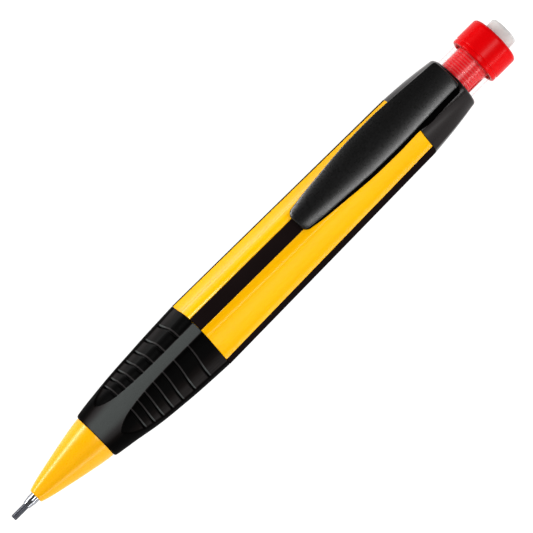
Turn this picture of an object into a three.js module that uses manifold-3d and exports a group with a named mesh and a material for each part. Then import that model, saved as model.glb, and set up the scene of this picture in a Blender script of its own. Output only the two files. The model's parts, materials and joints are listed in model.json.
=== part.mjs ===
// Mechanical pencil for 1.3 mm leads: a rounded-triangular barrel with a rubber grip, a pocket clip,
// a push mechanism with a three-jaw collet, and a twist-out eraser that also works as the push button.
//
// Millimetres. +X runs from the writing tip to the eraser, +Z up, clip on top. The pencil lies on its
// flat underside at z = 0, and x = 0 is halfway along it. Lengths below are stations: distances along
// the axis from the tip of the lead.
import * as THREE from 'three';
import { mergeVertices } from 'three/addons/utils/BufferGeometryUtils.js';
import Module from 'manifold-3d';

const wasm = await Module();
wasm.setup();

// ---- driving dimensions ----
const LENGTH = 139;                 // lead tip to eraser
const APOTHEM = 6.7;                // axis to each flat face of the barrel
const FACETS = 36;                  // sides of a turned piece
const RUN = 0.06;                   // clearance between pieces that move on each other
const SEAT = 0.04;                  // clearance between pieces that are fixed together

const LEAD_R = 0.65;
const LEAD_LENGTH = 60;
const LEAD_BORE = LEAD_R + RUN;

const CONE_FRONT = 6.2;             // where the plastic cone starts on the metal sleeve
const GRIP_FRONT = 23.1;
const CORE_FRONT = 23.9;            // front end of the barrel's core, inside the grip
const BARREL_FRONT = 52.3;          // end of the grip
const SOCKET_FRONT = 106;           // front end of the barrel's counterbore
const COLLAR_FRONT = 111.7;
const COLLAR_REAR = 124.4;
const TUBE_REAR = 130.6;            // end of the clear tube, inside the knob's skirt
const KNOB_FRONT = 129.8;
const KNOB_REAR = 136.4;

const CORE_R = 4.8;                 // barrel core inside the grip
const MECHANISM_BORE = 4.15;        // bore of the barrel core
const BARREL_BORE = 5.0;
const COLLAR_SOCKET = 5.65;         // barrel's counterbore for the collar
const COLLAR_BORE = 4.95;
const THREAD_TUBE_R = 4.8;
const KNOB_R = 5.75;
const ERASER_R = 3.2;

const STRIP_DEPTH = 0.7;            // black edge strips let into the barrel
const TOP_STRIP_HALF_WIDTH = 1.65;
const SIDE_STRIP_HALF_ANGLE = 58;   // degrees each way round a lower edge

// ---- placing and solid helpers ----
const at = (station) => station - LENGTH / 2;
const radians = (degrees) => degrees * Math.PI / 180;

// A turned or revolved shape is made round +Y, then Y becomes X.
const AXIS_TO_X = new THREE.Matrix4().makeBasis(
  new THREE.Vector3(0, 0, 1),
  new THREE.Vector3(1, 0, 0),
  new THREE.Vector3(0, 1, 0),
);

function solid(geometry) {
  geometry.deleteAttribute('normal');
  geometry.deleteAttribute('uv');
  const merged = mergeVertices(geometry, 1e-5);
  return new wasm.Manifold(new wasm.Mesh({
    numProp: 3,
    vertProperties: new Float32Array(merged.attributes.position.array),
    triVerts: new Uint32Array(merged.index.array),
  }));
}

function toGeometry(body) {
  const mesh = body.getMesh();
  const geometry = new THREE.BufferGeometry();
  geometry.setAttribute('position', new THREE.BufferAttribute(mesh.vertProperties, 3));
  geometry.setIndex(new THREE.BufferAttribute(mesh.triVerts, 1));
  geometry.computeVertexNormals();
  return geometry;
}

// A solid of revolution about the pencil's axis. profile: [station, radius] pairs, counter-clockwise
// with the radius as the horizontal, closed on itself or on the axis.
function turned(profile, facets = FACETS) {
  const points = profile.map(([station, radius]) => new THREE.Vector2(radius, at(station)));
  if (profile[0][1] > 0) points.push(points[0].clone());
  const geometry = new THREE.LatheGeometry(points, facets);
  geometry.applyMatrix4(AXIS_TO_X);
  return solid(geometry);
}

// A plain tube between two stations.
const tube = (start, end, inner, outer) => turned([
  [start, inner],
  [start, outer],
  [end, outer],
  [end, inner],
]);

// A plain rod between two stations, for cutting bores.
const rod = (start, end, radius) => turned([
  [start, 0],
  [start, radius],
  [end, radius],
  [end, 0],
]);

// A box given by its middle and size, the first of each along the pencil.
function block([x, y, z], [length, width, height]) {
  const geometry = new THREE.BoxGeometry(length, width, height);
  geometry.translate(x, y, z);
  return solid(geometry);
}

// Skins closed rings of [y, z] points, given at successive stations, into one solid. The rings run
// counter-clockwise seen from the eraser end, with the same number of points in each.
function loft(rings) {
  const count = rings[0].outline.length;
  const positions = rings.flatMap(({ station, outline }) =>
    outline.flatMap(([y, z]) => [at(station), y, z]));
  const indices = [];
  for (let ring = 0; ring + 1 < rings.length; ring += 1) {
    for (let i = 0; i < count; i += 1) {
      const a = ring * count + i;
      const b = ring * count + (i + 1) % count;
      indices.push(a, b, a + count, b, b + count, a + count);
    }
  }
  const cap = (ring, facesRear) => {
    const contour = rings[ring].outline.map(([y, z]) => new THREE.Vector2(y, z));
    for (const [a, b, c] of THREE.ShapeUtils.triangulateShape(contour, [])) {
      const [i, j, k] = [a, b, c].map((corner) => ring * count + corner);
      indices.push(...(facesRear ? [i, j, k] : [i, k, j]));
    }
  };
  cap(0, false);
  cap(rings.length - 1, true);
  const geometry = new THREE.BufferGeometry();
  geometry.setAttribute('position', new THREE.Float32BufferAttribute(positions, 3));
  geometry.setIndex(indices);
  return solid(geometry);
}

// Value at a station on a curve through [station, value] pairs, straight between them.
function along(table, station) {
  if (station <= table[0][0]) return table[0][1];
  for (let i = 1; i < table.length; i += 1) {
    const [start, from] = table[i - 1];
    const [end, to] = table[i];
    if (station <= end) return THREE.MathUtils.mapLinear(station, start, end, from, to);
  }
  return table.at(-1)[1];
}

// ---- the body's section: a triangle with wide round corners, one corner up ----
// spread: distance of each corner arc's centre from the axis. apothem: axis to each flat.
const EDGE_DIRECTIONS = [90, 210, 330];
const ARC_STEPS = 12;

function arcPoints(direction, spread, radius, from, to, steps) {
  const centreY = spread * Math.cos(radians(direction));
  const centreZ = spread * Math.sin(radians(direction));
  return Array.from({ length: steps + 1 }, (_, i) => {
    const angle = radians(direction + from + (to - from) * i / steps);
    return [centreY + radius * Math.cos(angle), centreZ + radius * Math.sin(angle)];
  });
}

const cornerRadius = (spread, apothem) => apothem - spread / 2;

function triangleOutline(spread, apothem, grow = 0) {
  const radius = cornerRadius(spread, apothem) + grow;
  return EDGE_DIRECTIONS.flatMap((direction) => arcPoints(direction, spread, radius, -60, 60, ARC_STEPS));
}

const section = ([station, spread, apothem], grow = 0) => ({
  station,
  outline: triangleOutline(spread, apothem, grow),
});

// [station, spread, apothem] along the outside of each shell.
const GRIP_SECTIONS = [
  [GRIP_FRONT, 0.05, 5.2],
  [GRIP_FRONT + 0.4, 0.05, 5.45],
  [25, 0.1, 5.7],
  [27, 0.3, 5.93],
  [30, 1.1, 6.05],
  [33, 2.2, 6.05],
  [36, 3.0, 6.1],
  [40, 3.6, 6.2],
  [44, 4.0, 6.35],
  [48, 4.2, 6.5],
  [BARREL_FRONT - 0.06, 4.36, 6.68],
];
const BARREL_SECTIONS = [
  [BARREL_FRONT, 4.36, APOTHEM],
  [COLLAR_FRONT, 2.24, APOTHEM],
];
const COLLAR_SECTIONS = [
  [COLLAR_FRONT + 0.06, 2.24, 6.68],
  [113.8, 1.85, 6.68],
  [116.4, 1.3, 6.68],
  [119.6, 0.7, 6.55],
  [121.2, 0.35, 6.5],
  [122.8, 0.1, 6.3],
  [123.7, 0.05, 6.03],
  [124.15, 0.05, 5.75],
  [COLLAR_REAR, 0.05, 5.4],
];

// ---- barrel and its black edge strips ----
const STRIP_STATIONS = [BARREL_FRONT + 0.05, COLLAR_FRONT - 0.05];

// One edge strip's outline: an arc on the surface and a parallel one under it. margin widens it
// into the groove that holds it.
function stripOutline(station, direction, halfAngle, margin) {
  const [front, rear] = BARREL_SECTIONS;
  const spread = THREE.MathUtils.mapLinear(station, front[0], rear[0], front[1], rear[1]);
  const radius = cornerRadius(spread, APOTHEM);
  const angle = halfAngle(radius) + THREE.MathUtils.radToDeg(margin / radius);
  const outer = radius + (margin > 0 ? 0.5 : 0);
  const inner = radius - STRIP_DEPTH - margin;
  const steps = Math.max(4, Math.round(angle / 8));
  return [
    ...arcPoints(direction, spread, outer, -angle, angle, steps),
    ...arcPoints(direction, spread, inner, angle, -angle, steps),
  ];
}

const STRIPS = [
  { name: 'top_strip', direction: 90, halfAngle: (r) => THREE.MathUtils.radToDeg(TOP_STRIP_HALF_WIDTH / r) },
  { name: 'edge_strip_left', direction: 210, halfAngle: () => SIDE_STRIP_HALF_ANGLE },
  { name: 'edge_strip_right', direction: 330, halfAngle: () => SIDE_STRIP_HALF_ANGLE },
];

function strip({ direction, halfAngle }, margin = 0) {
  const reach = margin > 0 ? 0.2 : 0;
  const [first, last] = STRIP_STATIONS;
  const rings = [first, last].map((station) => ({
    station,
    outline: stripOutline(station, direction, halfAngle, margin),
  }));
  rings[0].station -= reach;
  rings[1].station += reach;
  return loft(rings);
}

// Three ribs on the barrel's core keep the grip from turning.
const RIB_FRONT = 36;
const RIB_HEIGHT = 6.0;
const RIB_WIDTH = 1.6;

function coreRibs(margin = 0) {
  const length = BARREL_FRONT + 1 - RIB_FRONT;
  const height = RIB_HEIGHT - MECHANISM_BORE - 0.3;
  return EDGE_DIRECTIONS.map((direction) => block(
    [at(RIB_FRONT + length / 2), 0, RIB_HEIGHT - height / 2],
    [length + 2 * margin, RIB_WIDTH + 2 * margin, height + 2 * margin],
  ).rotate([direction - 90, 0, 0]));
}

function barrelShell() {
  let shell = loft(BARREL_SECTIONS.map((row) => section(row)));
  shell = shell.add(rod(CORE_FRONT, BARREL_FRONT + 1, CORE_R));
  for (const rib of coreRibs()) shell = shell.add(rib);
  shell = shell.subtract(rod(CORE_FRONT - 1, BARREL_FRONT - 1, MECHANISM_BORE));
  shell = shell.subtract(rod(BARREL_FRONT - 1.5, COLLAR_FRONT + 1, BARREL_BORE));
  shell = shell.subtract(rod(SOCKET_FRONT, COLLAR_FRONT + 1, COLLAR_SOCKET));
  for (const row of STRIPS) shell = shell.subtract(strip(row, SEAT));
  return shell;
}

// ---- rubber grip ----
const GRIP_LIP = 0.55;              // the grip's front lip closes over the end of the core

function gripSleeve() {
  let sleeve = loft(GRIP_SECTIONS.map((row) => section(row)));
  sleeve = sleeve.subtract(rod(GRIP_FRONT + GRIP_LIP, BARREL_FRONT + 1, CORE_R + SEAT));
  sleeve = sleeve.subtract(rod(GRIP_FRONT - 1, GRIP_FRONT + 1, MECHANISM_BORE));
  for (const rib of coreRibs(SEAT)) sleeve = sleeve.subtract(rib);
  return sleeve;
}

// ---- collar that closes the barrel's rear end ----
const SPIGOT_R = COLLAR_SOCKET - SEAT;

function collar() {
  let ring = loft(COLLAR_SECTIONS.map((row) => section(row)));
  ring = ring.add(rod(SOCKET_FRONT + 0.3, COLLAR_FRONT + 1, SPIGOT_R));
  return ring.subtract(rod(SOCKET_FRONT - 1, COLLAR_REAR + 1, COLLAR_BORE));
}

// ---- pocket clip: a hooded spring blade, rooted on the collar ----
// Lengths along it are measured from its free end, heights from the pencil's axis.
const CLIP_FRONT = 80.7;
const CLIP_LENGTH = 42.6;
const CLIP_ROOT = 34;
const CLIP_ROOT_BOTTOM = 4.6;
const CLIP_WALL = 1.1;
const CLIP_CROWN_STEPS = 10;
const CLIP_SHOULDER_DROP = 0.62;    // from the crown down to where the sides turn upright
const CLIP_DRAFT = 0.9;             // half width at the shoulder over half width at the bottom
const CLIP_HALF_WIDTH = [
  [0, 1.3], [0.4, 2.0], [1.1, 2.5], [4.7, 3.08], [9.7, 3.6], [14.7, 4.05], [18.7, 4.27], [24.7, 4.45],
  [28.7, 4.42], [33.7, 4.28], [38.7, 4.0], [41.2, 3.8], [42.1, 3.55], [CLIP_LENGTH, 3.0],
];
const CLIP_TOP = [
  [0, 9.9], [0.6, 10.35], [2.3, 10.65], [8.3, 11.25], [14.3, 11.72], [19.3, 11.95], [24.3, 12],
  [30.3, 11.8], [36.3, 11.25], [40.9, 10.65], [42.1, 10.35], [CLIP_LENGTH, 10.0],
];
const CLIP_UNDERSIDE = [[0, 9.35], [4.3, 9.25], [10.3, 9.1], [CLIP_LENGTH, 9.0]];

// The hood's section: upright sides drafted inwards to a rounded crown.
function clipOutline(distance, bottom, inset) {
  const half = along(CLIP_HALF_WIDTH, distance) - inset;
  const top = along(CLIP_TOP, distance) - inset;
  const shoulder = Math.max(top - CLIP_SHOULDER_DROP, bottom + 0.05);
  const crown = Array.from({ length: CLIP_CROWN_STEPS + 1 }, (_, i) => {
    const angle = radians(180 * i / CLIP_CROWN_STEPS);
    const reach = Math.sign(Math.cos(angle)) * Math.abs(Math.cos(angle)) ** 0.8;
    return [CLIP_DRAFT * half * reach, shoulder + (top - shoulder) * Math.sin(angle)];
  });
  return [[-half, bottom], [half, bottom], ...crown];
}

// The stations of both tables between two distances, with those two.
function clipDistances(start, end) {
  const inside = [...CLIP_HALF_WIDTH, ...CLIP_TOP].map(([distance]) => distance)
    .filter((distance) => distance > start && distance < end);
  return [...new Set([start, ...inside, end])].sort((a, b) => a - b);
}

const clipLoft = (start, end, bottomAt, inset = 0) => loft(clipDistances(start, end).map((distance) => ({
  station: CLIP_FRONT + distance,
  outline: clipOutline(distance, bottomAt(distance), inset),
})));

// The rounded foot under the free end, which presses on the barrel.
const FOOT_DISTANCE = 3;
const FOOT_HALF_LENGTH = 1.7;
const FOOT_HALF_WIDTH = 1.5;
const FOOT_TOP = 10;
const FOOT_SPRING_LINE = 9.4;       // where its sides end and its rounding begins
const FOOT_LOW = 8.45;

function clipFoot() {
  const steps = 6;
  const drop = FOOT_SPRING_LINE - FOOT_LOW;
  const shape = new THREE.Shape();
  shape.moveTo(-FOOT_HALF_LENGTH, FOOT_TOP);
  for (let i = 0; i <= steps; i += 1) {
    const angle = radians(180 + 180 * i / steps);
    shape.lineTo(FOOT_HALF_LENGTH * Math.cos(angle), FOOT_SPRING_LINE + drop * Math.sin(angle));
  }
  shape.lineTo(FOOT_HALF_LENGTH, FOOT_TOP);
  const geometry = new THREE.ExtrudeGeometry(shape, { depth: 2 * FOOT_HALF_WIDTH, bevelEnabled: false });
  geometry.translate(0, 0, -FOOT_HALF_WIDTH);
  geometry.rotateX(Math.PI / 2);
  geometry.translate(at(CLIP_FRONT + FOOT_DISTANCE), 0, 0);
  return solid(geometry);
}

function pocketClip() {
  const hood = clipLoft(0, CLIP_LENGTH, (distance) => along(CLIP_UNDERSIDE, distance));
  const root = clipLoft(CLIP_ROOT, CLIP_LENGTH, () => CLIP_ROOT_BOTTOM);
  const hollow = clipLoft(FOOT_DISTANCE + 2, CLIP_ROOT - CLIP_WALL, () => 8, CLIP_WALL);
  return hood.add(root).subtract(hollow).add(clipFoot())
    .subtract(loft(COLLAR_SECTIONS.map((row) => section(row, RUN))))
    .subtract(loft(BARREL_SECTIONS.map((row) => section(row, RUN))));
}

// ---- front end: cone, metal sleeve, lead retainer ----
const SPIGOT_REAR = 27.8;           // end of the cone's threaded spigot
const SPIGOT_THREAD_R = 3.6;
const FLANGE_FRONT = 9.4;
const FLANGE_REAR = 10.4;
const RETAINER_REAR = 13.2;
const JAW_ROOM_FRONT = 13.6;
const RING_STOP = 18.0;

function frontCone() {
  return turned([
    [CONE_FRONT, 1.2],
    [CONE_FRONT, 1.54],
    [7.6, 2.0],
    [9.2, 2.4],
    [10.8, 2.75],
    [12.4, 3.1],
    [14.0, 3.48],
    [15.6, 3.8],
    [17.2, 4.12],
    [18.8, 4.4],
    [20.4, 4.72],
    [22.0, 4.98],
    [23.0, 5.06],
    [23.0, SPIGOT_THREAD_R],
    [SPIGOT_REAR, SPIGOT_THREAD_R],
    [SPIGOT_REAR, 3.0],
    [RING_STOP, 3.0],
    [RING_STOP, 2.6],
    [JAW_ROOM_FRONT, 2.6],
    [JAW_ROOM_FRONT, 1.78],
    [FLANGE_FRONT - 0.05, 1.78],
    [FLANGE_FRONT - 0.05, 1.2],
  ]);
}

const leadSleeve = () => turned([
  [3.6, LEAD_BORE],
  [3.6, 0.86],
  [3.75, 0.93],
  [5.0, 0.97],
  [5.6, 1.13],
  [FLANGE_FRONT, 1.13],
  [FLANGE_FRONT, 1.7],
  [FLANGE_REAR, 1.7],
  [FLANGE_REAR, LEAD_BORE],
]);

const leadRetainer = () => tube(FLANGE_REAR + 0.05, RETAINER_REAR, LEAD_BORE, 1.72);

// ---- push mechanism ----
const JAW_FRONT = 17.5;
const JAW_ROOT = 31.0;              // where the jaws join the collet's stem, and flex
const JAW_GRIP_REAR = 22;
const JAW_HEAD_R = 2.15;
const JAW_STEM_R = 1.45;
const TAPER_FRONT = 19.2;
const TAPER_REAR = 23.2;
const JAW_GAP = 0.3;                // slot between two jaws
const STEM_STEP = 33.5;             // the stem's step stays behind the bush's flange when pressed
const JAW_RELIEF_BORE = 0.98;
const BUSH_FLANGE_FRONT = 28.4;
const BUSH_FLANGE_REAR = 29.4;
const BUSH_REAR = 40;
const SPRING_REAR = 40.9;
const LEAD_TUBE_FRONT = 41;
const LEAD_TUBE_R = 2.6;
const LEAD_TUBE_BORE = 2.12;
const COLLET_REAR = 44.2;
const LEAD_TUBE_REAR = 104.6;

const taper = (station) => THREE.MathUtils.mapLinear(station, TAPER_FRONT, TAPER_REAR, JAW_HEAD_R, JAW_STEM_R);

// The collet's three spring fingers, cut from one turned head.
function colletJaws() {
  const head = turned([
    [JAW_FRONT, LEAD_BORE],
    [JAW_FRONT, JAW_HEAD_R - 0.5],
    [JAW_FRONT + 0.5, JAW_HEAD_R],
    [TAPER_FRONT, JAW_HEAD_R],
    [TAPER_REAR, JAW_STEM_R],
    [JAW_ROOT, JAW_STEM_R],
    [JAW_ROOT, JAW_RELIEF_BORE],
    [JAW_GRIP_REAR, JAW_RELIEF_BORE],
    [JAW_GRIP_REAR, LEAD_BORE],
  ]);
  return EDGE_DIRECTIONS.map((direction) => {
    const reach = 2 * JAW_HEAD_R;
    const halves = [-60, 60].map((side) => block(
      [at((JAW_FRONT + JAW_ROOT) / 2), JAW_GAP / 2 + reach / 2, 0],
      [JAW_ROOT - JAW_FRONT + 1, reach, 2 * reach],
    ).rotate([direction + side - Math.sign(side) * 90, 0, 0]));
    return head.intersect(halves[0]).intersect(halves[1]);
  });
}

const colletStem = () => turned([
  [JAW_ROOT + 0.06, JAW_RELIEF_BORE],
  [JAW_ROOT + 0.06, JAW_STEM_R],
  [STEM_STEP, JAW_STEM_R],
  [STEM_STEP, 1.9],
  [LEAD_TUBE_FRONT - 0.3, 1.9],
  [LEAD_TUBE_FRONT - 0.3, LEAD_TUBE_BORE - SEAT],
  [COLLET_REAR, LEAD_TUBE_BORE - SEAT],
  [COLLET_REAR, 1.95],
  [COLLET_REAR - 1.4, JAW_RELIEF_BORE],
]);

const RING_FRONT = 19.8;
const RING_REAR = 22.0;
const clutchRing = () => turned([
  [RING_FRONT, taper(RING_FRONT) + RUN],
  [RING_FRONT, 2.75],
  [RING_FRONT + 0.2, 2.9],
  [RING_REAR, 2.9],
  [RING_REAR, taper(RING_REAR) + RUN],
]);

// Pressed into the barrel's core: threaded in front for the cone, with a flange for the spring.
const springBush = () => turned([
  [CORE_FRONT + 0.1, SPIGOT_THREAD_R + RUN],
  [CORE_FRONT + 0.1, MECHANISM_BORE - SEAT],
  [BUSH_REAR, MECHANISM_BORE - SEAT],
  [BUSH_REAR, 3.3],
  [BUSH_FLANGE_REAR, 3.3],
  [BUSH_FLANGE_REAR, 1.75],
  [BUSH_FLANGE_FRONT, 1.75],
  [BUSH_FLANGE_FRONT, SPIGOT_THREAD_R + RUN],
]);

const SPRING_R = 2.4;
const SPRING_WIRE_R = 0.2;
const SPRING_TURNS = 9;
const SPRING_STEPS_PER_TURN = 12;

class SpringCurve extends THREE.Curve {
  // The end turns lie closed against the next ones.
  getPoint(t) {
    const turn = t * SPRING_TURNS;
    const start = BUSH_FLANGE_REAR + SPRING_WIRE_R + 0.05;
    const end = SPRING_REAR - SPRING_WIRE_R - 0.05;
    const closed = 2 * SPRING_WIRE_R * 1.1;
    const open = (end - start - 2 * closed) / (SPRING_TURNS - 2);
    const station = start
      + closed * THREE.MathUtils.clamp(turn, 0, 1)
      + open * THREE.MathUtils.clamp(turn - 1, 0, SPRING_TURNS - 2)
      + closed * THREE.MathUtils.clamp(turn - SPRING_TURNS + 1, 0, 1);
    const angle = 2 * Math.PI * turn;
    return new THREE.Vector3(at(station), SPRING_R * Math.cos(angle), SPRING_R * Math.sin(angle));
  }
}

function returnSpring() {
  const wire = new THREE.Shape();
  wire.absarc(0, 0, SPRING_WIRE_R, 0, 2 * Math.PI);
  const geometry = new THREE.ExtrudeGeometry(wire, {
    curveSegments: 3,
    steps: SPRING_TURNS * SPRING_STEPS_PER_TURN,
    extrudePath: new SpringCurve(),
  });
  return solid(geometry);
}

const leadTube = () => turned([
  [LEAD_TUBE_FRONT, LEAD_TUBE_BORE],
  [LEAD_TUBE_FRONT, 2.95],
  [LEAD_TUBE_FRONT + 1.2, 2.95],
  [LEAD_TUBE_FRONT + 1.6, LEAD_TUBE_R],
  [LEAD_TUBE_REAR, LEAD_TUBE_R],
  [LEAD_TUBE_REAR, LEAD_TUBE_BORE],
]);

// ---- eraser unit: it plugs on the lead tube, and turning the knob screws the eraser in and out ----
const PLUG_FRONT = 98.6;
const THREAD_TUBE_FRONT = 103.6;
const THREAD_TUBE_BORE = 3.97;
const SLEEVE_OUTER = 3.88;
const SLEEVE_BORE = 3.48;
const SLEEVE_FRONT = 107.2;
const SLOT_FRONT = 108.2;
const SLOT_REAR = 128.4;
const SLOT_WIDTH = 1.6;
const CARRIER_FRONT = 110.8;
const CARRIER_FLOOR = 111.8;
const CARRIER_REAR = 117.5;
const CARRIER_R = 3.42;
const LUG_LENGTH = 0.9;

// A cup that grips the end of the lead tube and carries the clear tube.
const tubePlug = () => turned([
  [PLUG_FRONT, LEAD_TUBE_R + SEAT],
  [PLUG_FRONT, 3.5],
  [PLUG_FRONT + 0.6, 3.75],
  [THREAD_TUBE_FRONT - 0.3, 3.75],
  [THREAD_TUBE_FRONT - 0.3, THREAD_TUBE_BORE - SEAT],
  [106.4, THREAD_TUBE_BORE - SEAT],
  [106.4, 0],
  [LEAD_TUBE_REAR + 0.1, 0],
  [LEAD_TUBE_REAR + 0.1, LEAD_TUBE_R + SEAT],
]);

const threadTube = () => turned([
  [THREAD_TUBE_FRONT, THREAD_TUBE_BORE],
  [THREAD_TUBE_FRONT, THREAD_TUBE_R - 0.3],
  [THREAD_TUBE_FRONT + 0.3, THREAD_TUBE_R],
  [TUBE_REAR, THREAD_TUBE_R],
  [TUBE_REAR, THREAD_TUBE_BORE],
]);

function slottedSleeve() {
  const sleeve = tube(SLEEVE_FRONT, KNOB_REAR - 2.2, SLEEVE_BORE, SLEEVE_OUTER);
  const slots = block(
    [at((SLOT_FRONT + SLOT_REAR) / 2), 0, 0],
    [SLOT_REAR - SLOT_FRONT, 3 * SLEEVE_OUTER, SLOT_WIDTH],
  );
  return sleeve.subtract(slots);
}

// Pressed on the slotted sleeve, with a skirt that laps the end of the clear tube.
const twistKnob = () => turned([
  [KNOB_FRONT, THREAD_TUBE_R + 0.1],
  [KNOB_FRONT, KNOB_R - 0.65],
  [KNOB_FRONT + 0.35, KNOB_R - 0.35],
  [KNOB_FRONT + 0.8, KNOB_R],
  [KNOB_REAR - 0.8, KNOB_R],
  [KNOB_REAR - 0.25, KNOB_R - 0.25],
  [KNOB_REAR, KNOB_R - 0.8],
  [KNOB_REAR, ERASER_R + 0.25],
  [KNOB_REAR - 2.1, ERASER_R + 0.25],
  [KNOB_REAR - 2.1, SLEEVE_OUTER + SEAT],
  [TUBE_REAR + 0.25, SLEEVE_OUTER + SEAT],
  [TUBE_REAR + 0.25, THREAD_TUBE_R + 0.1],
]);

function eraserCarrier() {
  const cup = turned([
    [CARRIER_FRONT, 0],
    [CARRIER_FRONT, CARRIER_R],
    [CARRIER_REAR, CARRIER_R],
    [CARRIER_REAR, ERASER_R + SEAT],
    [CARRIER_FLOOR, ERASER_R + SEAT],
    [CARRIER_FLOOR, 0],
  ]);
  const lugs = block(
    [at(CARRIER_FRONT + LUG_LENGTH / 2), 0, 0],
    [LUG_LENGTH, 2 * (THREAD_TUBE_BORE - RUN), SLOT_WIDTH - 0.2],
  );
  return cup.add(lugs);
}

const eraser = () => turned([
  [CARRIER_FLOOR + 0.05, 0],
  [CARRIER_FLOOR + 0.05, ERASER_R],
  [LENGTH - 0.45, ERASER_R],
  [LENGTH - 0.13, ERASER_R - 0.13],
  [LENGTH, ERASER_R - 0.45],
  [LENGTH, 0],
]);

// ---- leads ----
const SPARE_LEADS = 2;
const SPARE_LEAD_FRONT = COLLET_REAR + 0.1;

const lead = () => turned([
  [0, 0],
  [0, 0.5],
  [0.15, LEAD_R],
  [LEAD_LENGTH, LEAD_R],
  [LEAD_LENGTH, 0],
], 16);

// The spare leads lie beside the one in use, in the lead tube.
function spareLead(index) {
  const offset = LEAD_TUBE_BORE - LEAD_R - 0.06;
  const angle = radians(-90 + (index - 0.5) * 70);
  return turned([
    [SPARE_LEAD_FRONT, 0],
    [SPARE_LEAD_FRONT, LEAD_R],
    [SPARE_LEAD_FRONT + LEAD_LENGTH, LEAD_R],
    [SPARE_LEAD_FRONT + LEAD_LENGTH, 0],
  ], 16).translate([0, offset * Math.cos(angle), offset * Math.sin(angle)]);
}

// ---- materials and assembly ----
const FINISHES = {
  yellow: { color: 0xf9c80e, roughness: 0.28, metalness: 0 },
  black: { color: 0x17130f, roughness: 0.3, metalness: 0 },
  rubber: { color: 0x2e2e2e, roughness: 0.75, metalness: 0 },
  red: { color: 0xb5152b, roughness: 0.25, metalness: 0 },
  clear: { color: 0xd9dde0, roughness: 0.1, metalness: 0 },
  white: { color: 0xf2f2ee, roughness: 0.8, metalness: 0 },
  grey: { color: 0x9a9da0, roughness: 0.5, metalness: 0 },
  steel: { color: 0xb8bcc0, roughness: 0.25, metalness: 1 },
  brass: { color: 0xb8973f, roughness: 0.3, metalness: 1 },
  graphite: { color: 0x3a3c40, roughness: 0.4, metalness: 0.3 },
};

const pencil = new THREE.Group();
pencil.position.z = APOTHEM;

function addPiece(name, body, finish) {
  const mesh = new THREE.Mesh(toGeometry(body), new THREE.MeshStandardMaterial(FINISHES[finish]));
  mesh.name = name;
  pencil.add(mesh);
}

addPiece('barrel_shell', barrelShell(), 'yellow');
for (const row of STRIPS) addPiece(row.name, strip(row), 'black');
addPiece('grip_sleeve', gripSleeve(), 'rubber');
addPiece('rear_collar', collar(), 'black');
addPiece('pocket_clip', pocketClip(), 'black');
addPiece('front_cone', frontCone(), 'yellow');
addPiece('lead_sleeve', leadSleeve(), 'steel');
addPiece('lead_retainer', leadRetainer(), 'rubber');
addPiece('spring_bush', springBush(), 'grey');
addPiece('return_spring', returnSpring(), 'steel');
addPiece('clutch_ring', clutchRing(), 'steel');
addPiece('collet_stem', colletStem(), 'brass');
colletJaws().forEach((jaw, i) => addPiece(`collet_jaw_${i + 1}`, jaw, 'brass'));
addPiece('lead_tube', leadTube(), 'grey');
addPiece('tube_plug', tubePlug(), 'grey');
addPiece('thread_tube', threadTube(), 'clear');
addPiece('slotted_sleeve', slottedSleeve(), 'red');
addPiece('twist_knob', twistKnob(), 'red');
addPiece('eraser_carrier', eraserCarrier(), 'red');
addPiece('eraser', eraser(), 'white');
addPiece('lead', lead(), 'graphite');
for (let i = 0; i < SPARE_LEADS; i += 1) addPiece(`spare_lead_${i + 1}`, spareLead(i), 'graphite');

export default pencil;
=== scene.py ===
"""Looks of the mechanical pencil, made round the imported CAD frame.

Sizes are millimetres in the pencil's own terms: a station is a distance along the axis from the tip
of the lead, and y and z are measured from the axis. place() turns them into the frame's metres.
"""

import json
import math

import bmesh
import bpy
import numpy as np
from mathutils import Matrix, Vector


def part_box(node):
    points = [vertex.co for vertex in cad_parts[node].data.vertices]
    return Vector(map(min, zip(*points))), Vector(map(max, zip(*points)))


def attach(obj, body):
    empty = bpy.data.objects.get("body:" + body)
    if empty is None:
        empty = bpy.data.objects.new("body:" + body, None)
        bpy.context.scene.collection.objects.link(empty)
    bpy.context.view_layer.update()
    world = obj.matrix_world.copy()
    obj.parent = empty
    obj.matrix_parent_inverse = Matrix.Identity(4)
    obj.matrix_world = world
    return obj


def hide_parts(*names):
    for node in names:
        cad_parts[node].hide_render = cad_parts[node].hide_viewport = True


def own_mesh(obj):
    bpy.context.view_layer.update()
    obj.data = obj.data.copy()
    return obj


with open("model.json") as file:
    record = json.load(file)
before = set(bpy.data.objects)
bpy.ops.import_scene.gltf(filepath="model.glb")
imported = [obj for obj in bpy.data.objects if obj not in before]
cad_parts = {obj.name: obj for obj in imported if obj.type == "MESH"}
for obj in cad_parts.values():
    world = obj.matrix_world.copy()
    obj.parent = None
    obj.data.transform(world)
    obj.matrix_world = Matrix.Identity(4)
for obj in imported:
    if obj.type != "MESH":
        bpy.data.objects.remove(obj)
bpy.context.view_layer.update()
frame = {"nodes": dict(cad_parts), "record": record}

MM = 0.001
RECORD = frame["record"]
BODY_OF = {node: body for body, nodes in RECORD["behaviour"]["bodies"].items() for node in nodes}

TIP_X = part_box("lead")[0].x
AXIS_Z = (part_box("twist_knob")[0].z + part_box("twist_knob")[1].z) / 2


def place(station, y=0.0, z=0.0):
    return (TIP_X + station * MM, y * MM, AXIS_Z + z * MM)


def span(node):
    """First and last station of a CAD node."""
    low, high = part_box(node)
    return (low.x - TIP_X) / MM, (high.x - TIP_X) / MM


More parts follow.
